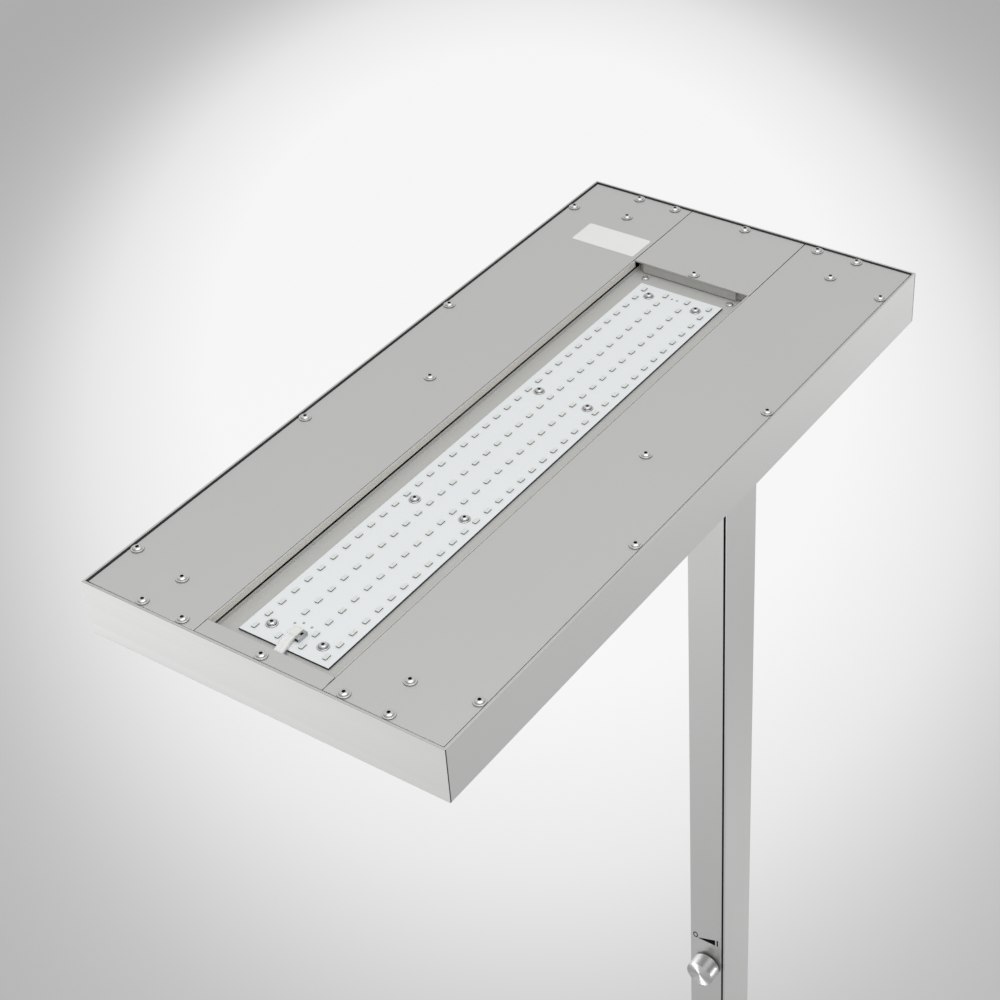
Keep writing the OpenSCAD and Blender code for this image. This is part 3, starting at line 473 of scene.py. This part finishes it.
walls = [
    (a + j, a + (j + 1) % count, a + count + (j + 1) % count, a + count + j)
    for a in range(0, len(corners) - count, count) for j in range(count)
]
lead_mesh = bpy.data.meshes.new("flat_lead")
lead_mesh.from_pydata(corners, [], walls + [
    tuple(reversed(range(count))), tuple(range(len(corners) - count, len(corners))),
])
lead = bpy.data.objects.new("flat_lead", lead_mesh)
scene.collection.objects.link(lead)
select(lead)
bpy.ops.object.mode_set(mode="EDIT")
bpy.ops.mesh.select_all(action="SELECT")
bpy.ops.mesh.normals_make_consistent(inside=False)
finish(lead, [white_pvc], smooth=60, node=["board_lead"])


# Frame rails: painted shade darkens the rim's inner side beside the left and the rear cover, and the
# chamfers of the mitred corners on the side rails, as a thin dark seam
EASED_RAIL = 0.35
MITRE_SEAM = 1.1
GAP_SHADE_DEPTH = 4
for node, axis in (("frame_rail_left", "y"), ("frame_rail_right", "y"), ("frame_rail_front", "x"),
                   ("frame_rail_rear", "x")):
    rail = eased(node, EASED_RAIL, die_lines[axis],
                 mitre=MITRE_SEAM if axis == "y" else 0)
    rail.data.materials.append(painted_gap_shade)
    shade_painted_rail = node in ("frame_rail_left", "frame_rail_rear")
    for face in rail.data.polygons:
        outward = face.normal.x * face.center.x + face.normal.y * face.center.y
        gap_shade = shade_painted_rail and outward < -0.05 and face.center.z > (RIM_Z - GAP_SHADE_DEPTH) * MM
        seam_shade = axis == "y" and 0.05 < abs(face.normal.y) < 0.5
        face.material_index = 1 if gap_shade or seam_shade else 0

# Column: the open groove beside its front cover lies between these places across and behind the
# front. Its floor takes no light and is painted near black, and its walls take a painted shade of
# dark grey
EASED_COLUMN = 0.3
GROOVE_ACROSS = (16.4, 18.6)
GROOVE_BEHIND = (0.4, 1.9)
GROOVE_FLOOR = 2
for node in ("pole_profile", "pole_front_cover"):
    column = eased(node, EASED_COLUMN, die_lines["z"], least=30)
    column.data.materials.append(shade)
    column.data.materials.append(painted_shade_steel)
    for face in column.data.polygons:
        x, behind = face.center.x / MM, face.center.y / MM - KNOB_AXIS[1]
        bottom = abs(behind - GROOVE_FLOOR) < 0.01 and face.normal.y < -0.9 and x > 0
        wall = (GROOVE_ACROSS[0] < x < GROOVE_ACROSS[1]
                and GROOVE_BEHIND[0] < behind < GROOVE_BEHIND[1])
        face.material_index = 1 if bottom else 2 if wall else 0

# Covers, linings, base, tray and board. The tray's turned-up edges reach up to the slot
EASED_SHEET = 0.25
EASED_LINING = 0.2
EASED_BASE = 0.4
EASED_TRAY = 0.15
EASED_BOARD = 0.2
TRAY_EDGE = RIM_Z - 10.5
TRAY_RAISED = 1.2
for node in ("cover_left", "cover_right", "front_cover_strip", "rear_cover"):
    eased(node, EASED_SHEET, anodised_sheet)
for node in ("recess_lining_left", "recess_lining_right"):
    lining = eased(node, EASED_LINING, pale_lacquer)
    lining.data.materials.append(anodised_sheet)
    for face in lining.data.polygons:
        face.material_index = 1 if face.normal.z > 0.5 else 0
eased("base_plate", EASED_BASE, powder_coat)
tray = eased("recess_tray", EASED_TRAY, matt_zinc, least=60)
bpy.ops.object.mode_set(mode="EDIT")
pick(tray, "verts", lambda v: v.co.z > TRAY_EDGE * MM)
bpy.ops.transform.translate(value=(0, 0, TRAY_RAISED * MM))
bpy.ops.object.mode_set(mode="OBJECT")
board = eased("uplight_board", EASED_BOARD, solder_mask)
board.data.materials.append(laminate_and_edge_shade)
# Sides and eased top edges take the laminate, the top edges as painted shade
for face in board.data.polygons:
    face.material_index = 1 if face.normal.z < 0.9 else 0


# Button-head screws of the covers: collar, dome and hexagon socket
COLLAR_R, COLLAR_T, COLLAR_EDGE = 4.7, 0.7, 0.25
DOME_FOOT_R, DOME_R = 3.62, 3.5
random.seed(11)
screw = begin("cover_button_screws", radius=COLLAR_R, height=COLLAR_T)
top_face(screw)
bpy.ops.mesh.bevel(offset=COLLAR_EDGE * MM, segments=2, affect="EDGES")
top_face(screw)
step(0, DOME_FOOT_R / (COLLAR_R - COLLAR_EDGE))
step(0.25, DOME_R / DOME_FOOT_R)
dome(screw, DOME_R, ((0.95, 0.4375), (0.82, 0.4125), (0.6, 0.3), (0.42, 0.1)))
socket = begin("socket", radius=1.45, height=2, sides=6, foot=(0, 0, 0.95))
cut(screw, socket, (zinc_screw, shade))
# The outer side of the collar takes the middle grey: painted shade under the head
screw.data.materials.append(side_grey_and_shade)
for face in screw.data.polygons:
    shaded_collar = face.center.to_2d().length > (COLLAR_R - 0.3) * MM
    if shaded_collar and face.center.z > 0 and face.normal.z < 0.8:
        face.material_index = 2
xs = (-142.5, 142.5)
places = [(x, y, COVER_TOP) for x in xs for y in (-264.5, -88.167, 88.167, 264.5)]
places += [(x, y, COVER_TOP) for x in (-102, -67, 0, 67, 102) for y in (-302.5, 302.5)]
places += [(x, y, COVER_TOP) for x in (-95, 95) for y in (-272, 0, 272)]
places += [(0, 222.2, COVER_TOP)]
screws = repeat(screw, places, [random.uniform(0, 1) for _ in places])
finish(screws, [zinc_screw, shade, side_grey_and_shade], smooth=38, node=["cover_screws"])


# Pan-head screws of the board on washers, with painted shade on the seat around the head and on
# the washers' sides
WASHER_R, WASHER_T = 4.3, 0.6
PAN_R, PAN_T = 3, 0.7
board_places = [(x, y, BOARD_TOP) for x in (-21.5, 21.5) for y in (-268.6, -116.2, 36.2, 188.6)]
washer = begin("board_washers", radius=WASHER_R, height=WASHER_T)
top_face(washer)
bpy.ops.mesh.bevel(offset=0.15 * MM, segments=1, affect="EDGES")
top_face(washer)
bpy.ops.mesh.inset(thickness=0.75 * MM)
step(-0.2)
washer.data.materials.append(zinc_screw)
washer.data.materials.append(painted_shade_steel)
mesh = bmesh.from_edit_mesh(washer.data)
for face in mesh.faces:
    seat_shade = face.calc_center_median().to_2d().length < (PAN_R + 0.5) * MM
    face.material_index = 1 if seat_shade or abs(face.normal.z) < 0.1 else 0
bmesh.update_edit_mesh(washer.data)
washer_hole = begin("washer_hole", radius=1.6, height=2, foot=(0, 0, -1))
cut(washer, washer_hole)
washers = repeat(washer, board_places)
finish(washers, [zinc_screw, painted_shade_steel], smooth=38)
head = begin("board_pan_screws", radius=PAN_R, height=PAN_T, foot=(0, 0, WASHER_T))
dome(head, PAN_R, ((0.96, 0.45), (0.82, 0.4), (0.55, 0.2)))
head_socket = begin("head_socket", radius=1.35, height=2, sides=6, foot=(0, 0, 1.2))
cut(head, head_socket, (zinc_screw, shade))
heads = repeat(head, board_places, [random.uniform(0, 1) for _ in board_places])
finish(heads, [zinc_screw, shade], smooth=38, node=["board_screws"])


# Lights of the board: white packages with a shallow phosphor window, in four rows. One place is
# empty, beside the connector
LIGHT_HALF = (1.55, 2.7)
LIGHT_T = 1
ROWS, ROW_PITCH = 4, 19.85
COLUMNS, COLUMN_PITCH, MIDDLE_Y = 36, 13.45, -40
EMPTY = (1, 1)
light = begin("uplight_packages", low=(-LIGHT_HALF[0], -LIGHT_HALF[1], 0),
              high=(*LIGHT_HALF, LIGHT_T))
pick(light, "edges", lambda e: abs(e.verts[0].co.z - e.verts[1].co.z) > 0.5 * MM)
bpy.ops.mesh.bevel(offset=0.3 * MM, segments=1, affect="EDGES")
top_face(light)
bpy.ops.mesh.bevel(offset=0.12 * MM, segments=1, affect="EDGES")
top_face(light)
bpy.ops.mesh.inset(thickness=0.4 * MM)
step(-0.08, 0.94)
for material in (led_body, led_phosphor, side_grey_and_shade):
    light.data.materials.append(material)
# The window takes the phosphor, and the sides take the terminals' middle grey, which also paints
# their shade
mesh = bmesh.from_edit_mesh(light.data)
for face in mesh.faces:
    side = abs(face.normal.z) < 0.1 and face.calc_center_median().to_2d().length > 1.4 * MM
    face.material_index = 1 if face.select else 2 if side else 0
bmesh.update_edit_mesh(light.data)
light_places = [
    ((row - (ROWS - 1) / 2) * ROW_PITCH, MIDDLE_Y + (column - (COLUMNS - 1) / 2) * COLUMN_PITCH,
     BOARD_TOP)
    for column in range(COLUMNS) for row in range(ROWS) if (column, row) != EMPTY
]
lights = repeat(light, light_places)
finish(lights, [led_body, led_phosphor, side_grey_and_shade], smooth=30, node=["uplight_leds"])


# Connector of the lead: nylon housing with a sunk top, beside tinned contacts with two openings
x0, y0, z0 = CONNECTOR_FOOT
housing = begin("connector_housing", low=(x0 - 5.5, y0, z0), high=(x0 + 1.9, y0 + 9, z0 + 3.6))
bpy.ops.mesh.select_all(action="SELECT")
bpy.ops.mesh.bevel(offset=0.4 * MM, segments=2, affect="EDGES")
top_face(housing)
bpy.ops.mesh.inset(thickness=0.7 * MM)
step(-0.25, 0.96, centre=(x0 - 1.8, y0 + 4.5, 0))
finish(housing, [nylon], node=["board_connector"])
clamp = begin("connector_contacts", low=(x0 + 1.9, y0 - 1.2, z0), high=(x0 + 5.5, y0 + 8, z0 + 3.1))
bpy.ops.mesh.select_all(action="SELECT")
bpy.ops.mesh.bevel(offset=0.3 * MM, segments=2, affect="EDGES")
for low, high in (((2.3, -2, 0.6), (5, 1.4, 2.4)), ((2.7, 3, 1.2), (4.6, 5.6, 5))):
    well = begin("well", low=[a + b for a, b in zip((x0, y0, z0), low)],
                 high=[a + b for a, b in zip((x0, y0, z0), high)])
    cut(clamp, well, (tinned, shade))
finish(clamp, [tinned, shade])


# Turned knob: rounded front edge, dished front, hollow back with the shaft's bore, and the hole of
# the set screw
KNOB_R, KNOB_T, KNOB_GAP = 15, 15.5, 2
FRONT_EDGE, BACK_EDGE = 0.8, 0.3
DISH_R, DISH_FLOOR_R, DISH_DEPTH = 13, 12.7, 0.3
HOLLOW_R, HOLLOW_DEPTH = 8.5, 3.5
BORE_R, BORE_DEPTH = 3.05, 9
kx, ky, kz = KNOB_AXIS
knob = begin("turned_knob", radius=KNOB_R, height=KNOB_T, sides=128, foot=(kx, ky - KNOB_GAP, kz),
             along="-y")
top_face(knob, 1, -1)
bpy.ops.mesh.bevel(offset=FRONT_EDGE * MM, segments=3, affect="EDGES")
side = {"direction": (0, 1, 0), "centre": KNOB_AXIS, "flat": (1, 0, 1)}
top_face(knob, 1, -1)
step(0, DISH_R / (KNOB_R - FRONT_EDGE), **side)
step(DISH_DEPTH, DISH_FLOOR_R / DISH_R, **side)
top_face(knob, 1, 1)
bpy.ops.mesh.bevel(offset=BACK_EDGE * MM, segments=2, affect="EDGES")
top_face(knob, 1, 1)
step(0, HOLLOW_R / (KNOB_R - BACK_EDGE), **side)
step(-HOLLOW_DEPTH, 1, **side)
step(0, BORE_R / HOLLOW_R, **side)
step(-BORE_DEPTH, 1, **side)
set_hole = begin("set_hole", radius=1.6, height=10, sides=32, foot=(kx, ky - 10, kz - 16))
cut(knob, set_hole)
finish(knob, [turned_aluminium], smooth=32, body="knob", node=["dimmer_knob"])


# Scale above the knob, printed on the column: a nought, a rising wedge and a bar
INK_T = 0.03
NOUGHT_X, NOUGHT_UP = -14.6, 37
NOUGHT_HALF = (2.9, 4.0)


def printed(name, shape):
    """Flat ink shape on the column's front. Its corners are in x and height above the knob axis."""
    piece = begin(name, low=(-1, ky - INK_T, kz - 1), high=(1, ky, kz + 1))
    targets = dict(zip(((-1, -1), (1, -1), (1, 1), (-1, 1)), shape))
    for vert in bmesh.from_edit_mesh(piece.data).verts:
        x, up = targets[1 if vert.co.x > 0 else -1, 1 if vert.co.z > kz * MM else -1]
        vert.co.x, vert.co.z = x * MM, (kz + up) * MM
    bmesh.update_edit_mesh(piece.data)
    finish(piece, [screen_ink])


nought = begin("scale_nought", radius=1, height=INK_T, sides=40, along="-y")
nought_hole = begin("nought_hole", radius=0.62, height=1, sides=40, foot=(0, 0.5, 0), along="-y")
cut(nought, nought_hole)
nought.data.transform(Matrix.Translation((NOUGHT_X * MM, ky * MM, (kz + NOUGHT_UP) * MM))
                      @ Matrix.Diagonal((NOUGHT_HALF[0], 1, NOUGHT_HALF[1], 1)))
finish(nought, [screen_ink])
printed("scale_wedge", ((-11.0, 33.3), (9.0, 33.9), (9.0, 41.9), (-11.0, 34.3)))
printed("scale_bar", ((10.8, 34.1), (12.4, 34.1), (12.4, 42.8), (10.8, 42.8)))


# Blank label on the left cover
LABEL_T = 0.1
label = begin("blank_label", low=(-116, 221, COVER_TOP), high=(-57, 249, COVER_TOP + LABEL_T))
pick(label, "edges", lambda e: abs(e.verts[0].co.z - e.verts[1].co.z) > 0.05 * MM)
bpy.ops.mesh.bevel(offset=1.5 * MM, segments=4, affect="EDGES")
finish(label, [vinyl_film])


# Solder pads of the board beside the connector and at its rear end
pad = begin("board_pads", radius=1.0, height=0.08, sides=24)
top_face(pad)
bpy.ops.mesh.inset(thickness=0.35 * MM)
step(0.05, 0.9)
pads = repeat(pad, [(-9, -260.4, BOARD_TOP), (-3.9, -257.4, BOARD_TOP), (3.4, -258.1, BOARD_TOP),
                    (-3.3, 194, BOARD_TOP), (1.5, 194, BOARD_TOP)])
finish(pads, [tinned])


# Finishes of the pieces that stay as drawn
dress = {
    cast_aluminium: ["corner_brackets", "head_bracket"],
    zinc_sheet: ["front_strap", "middle_strap", "rear_strap", "tray_support", "back_plate",
                 "rear_bottom_plate"],
    grey_lacquer: ["recess_end_wall"],
    zinc_screw: ["tray_screws", "driver_screws", "head_bolts", "head_nuts", "pole_screws",
                 "dimmer_nut", "dimmer_shaft", "knob_set_screw", "base_screws", "foot_block"],
    solder_mask: ["edge_boards"],
    led_phosphor: ["edge_leds"],
    nylon: ["terminal_block"],
    opal_acrylic: ["diffuser"],
    clear_acrylic: ["light_guide"],
    white_film: ["reflector_sheet"],
    driver_plastic: ["uplight_driver", "downlight_driver"],
    phenolic: ["dimmer_body"],
    rubber: ["cable_grommet", "base_feet"],
}
for material, names in dress.items():
    for name in names:
        for entry in NODES[name].material_slots:
            entry.material = material


# Floor: a plain pale ground with one soft pool of light behind the lamp, an ellipse whose tones go
# outward from its middle to three times its half axes. Beside the picture, further pools brighten
# what the front and the right side of the lamp reflect: centre, radius and strength
POOL_CENTRE = (-1.966, 2.622, 0)
POOL_HALF = (1.337, 2.418)
POOL_TURN = -0.647
POOL_REACH = 3.0
POOL_TONES = (
    (0, 1.15), (0.17, 1.04), (0.27, 0.91), (0.34, 0.55), (0.42, 0.47), (0.55, 0.42), (1, 0.95),
)
OWN_GLOW = 0.8
BRIGHT_GROUND = (
    ((-2.2, -2.0, 0), 2.4, 1.18),
    ((1.8, 3.9, 0), 2.7, 0.9),
    ((0.55, 1.3, 0), 0.85, 1.2),
    ((-0.35, -0.35, 0), 1.2, 0.35),
)
select()
bpy.ops.mesh.primitive_plane_add(size=60, location=(0, 0, 0))
floor = bpy.context.active_object
floor.name = "floor"
ground = bpy.data.materials.new("pale studio floor")
ground.use_nodes = True
tree = ground.node_tree
tree.nodes.clear()
place = add_node(tree, "ShaderNodeTexCoord").outputs["Object"]
moved = add_node(tree, "ShaderNodeVectorMath", {0: place, 1: POOL_CENTRE}, operation="SUBTRACT")
turned = add_node(tree, "ShaderNodeVectorRotate", {
    "Vector": moved.outputs[0], "Angle": POOL_TURN,
}, rotation_type="Z_AXIS")
sized = add_node(tree, "ShaderNodeVectorMath", {
    0: turned.outputs[0], 1: (1 / POOL_HALF[0], 1 / POOL_HALF[1], 0),
}, operation="MULTIPLY")
reach = add_node(tree, "ShaderNodeVectorMath", {0: sized.outputs[0]}, operation="LENGTH")
share = add_node(tree, "ShaderNodeMath", {0: reach.outputs["Value"], 1: POOL_REACH},
                 operation="DIVIDE")
ramp = add_node(tree, "ShaderNodeValToRGB", {0: share.outputs[0]})
ramp.color_ramp.interpolation = "B_SPLINE"
# A new ramp has two stops, and only the first is kept
spots = ramp.color_ramp.elements
spots.remove(spots[1])
for number, (at, tone) in enumerate(POOL_TONES):
    spot = spots.new(at) if number else spots[0]
    spot.color = (tone, tone, tone, 1)
paint = add_node(tree, "ShaderNodeBsdfDiffuse", {"Color": ramp.outputs[0]})
rays = add_node(tree, "ShaderNodeLightPath")
level = 1.0
for centre, radius, strength in BRIGHT_GROUND:
    away = add_node(tree, "ShaderNodeVectorMath", {0: place, 1: centre}, operation="DISTANCE")
    fall = add_node(tree, "ShaderNodeMapRange", {
        "Value": away.outputs["Value"], "From Min": radius, "From Max": 0.0, "To Max": strength,
    }, interpolation_type="SMOOTHSTEP")
    level = add_node(tree, "ShaderNodeMath", {
        0: fall.outputs[0], 1: rays.outputs["Is Glossy Ray"], 2: level,
    }, operation="MULTIPLY_ADD").outputs[0]
glow = add_node(tree, "ShaderNodeEmission", {"Color": ramp.outputs[0], "Strength": level})
shown = add_node(tree, "ShaderNodeMixShader", {
    0: OWN_GLOW, 1: paint.outputs[0], 2: glow.outputs[0],
})
plain = add_node(tree, "ShaderNodeBsdfDiffuse", {"Color": colour("D0D0CF")})
mirrored = add_node(tree, "ShaderNodeMath", {
    0: rays.outputs["Is Camera Ray"], 1: rays.outputs["Is Glossy Ray"],
}, operation="MAXIMUM")
seen = add_node(tree, "ShaderNodeMath", {
    0: mirrored.outputs[0], 1: rays.outputs["Is Transmission Ray"],
}, operation="MAXIMUM")
either = add_node(tree, "ShaderNodeMixShader", {
    0: seen.outputs[0], 1: plain.outputs[0], 2: shown.outputs[0],
})
add_node(tree, "ShaderNodeOutputMaterial", {"Surface": either.outputs[0]})
floor.data.materials.append(ground)


# Light: a room that is brightest at the rear left, which the covers mirror, a wide soft box above,
# and two smaller ones for the turned knob alone
BRIGHT_SIDE = (-0.49, 0.62, 0.61)
ROOM_DIM, ROOM_BRIGHT = 0.38, 0.695
world = bpy.data.worlds.new("studio")
scene.world = world
world.use_nodes = True
sky = world.node_tree
toward = add_node(sky, "ShaderNodeVectorMath", {
    0: add_node(sky, "ShaderNodeTexCoord").outputs["Generated"], 1: BRIGHT_SIDE,
}, operation="DOT_PRODUCT")
strength = add_node(sky, "ShaderNodeMapRange", {
    "Value": toward.outputs["Value"], "From Min": 0.1, "From Max": 0.75,
    "To Min": ROOM_DIM, "To Max": ROOM_BRIGHT,
}, interpolation_type="SMOOTHSTEP")
sky.links.new(strength.outputs[0], sky.nodes["Background"].inputs["Strength"])
sky.nodes["Background"].inputs["Color"].default_value = colour("FBFBFA")


def soft_box(name, place, aim, size, power, only=None):
    """Large area lamp that faces a point. With only, it lights that piece alone."""
    lamp = bpy.data.objects.new(name, bpy.data.lights.new(name, "AREA"))
    lamp.data.shape = "RECTANGLE"
    lamp.data.size, lamp.data.size_y = size
    lamp.data.energy = power
    lamp.visible_camera = False
    if only:
        lit = bpy.data.collections.new(name + "_lit")
        lit.objects.link(only)
        lamp.light_linking.receiver_collection = lit
    scene.collection.objects.link(lamp)
    way = (Vector(aim) - Vector(place)).to_track_quat("-Z", "Y")
    lamp.matrix_world = Matrix.Translation(place) @ way.to_matrix().to_4x4()


soft_box("knob_front_box", (-2.6, -2.6, 1.2), (0, 0.2, 1.1), (1.7, 1.7), 85, only=knob)
soft_box("knob_side_box", (2.3, 2.0, 0.2), (0, 0.2, 1.1), (1.1, 1.1), 50, only=knob)
soft_box("top_box", (1.7, -1.4, 5.1), (1.7, -1.4, 1.9), (5.0, 5.0), 88)
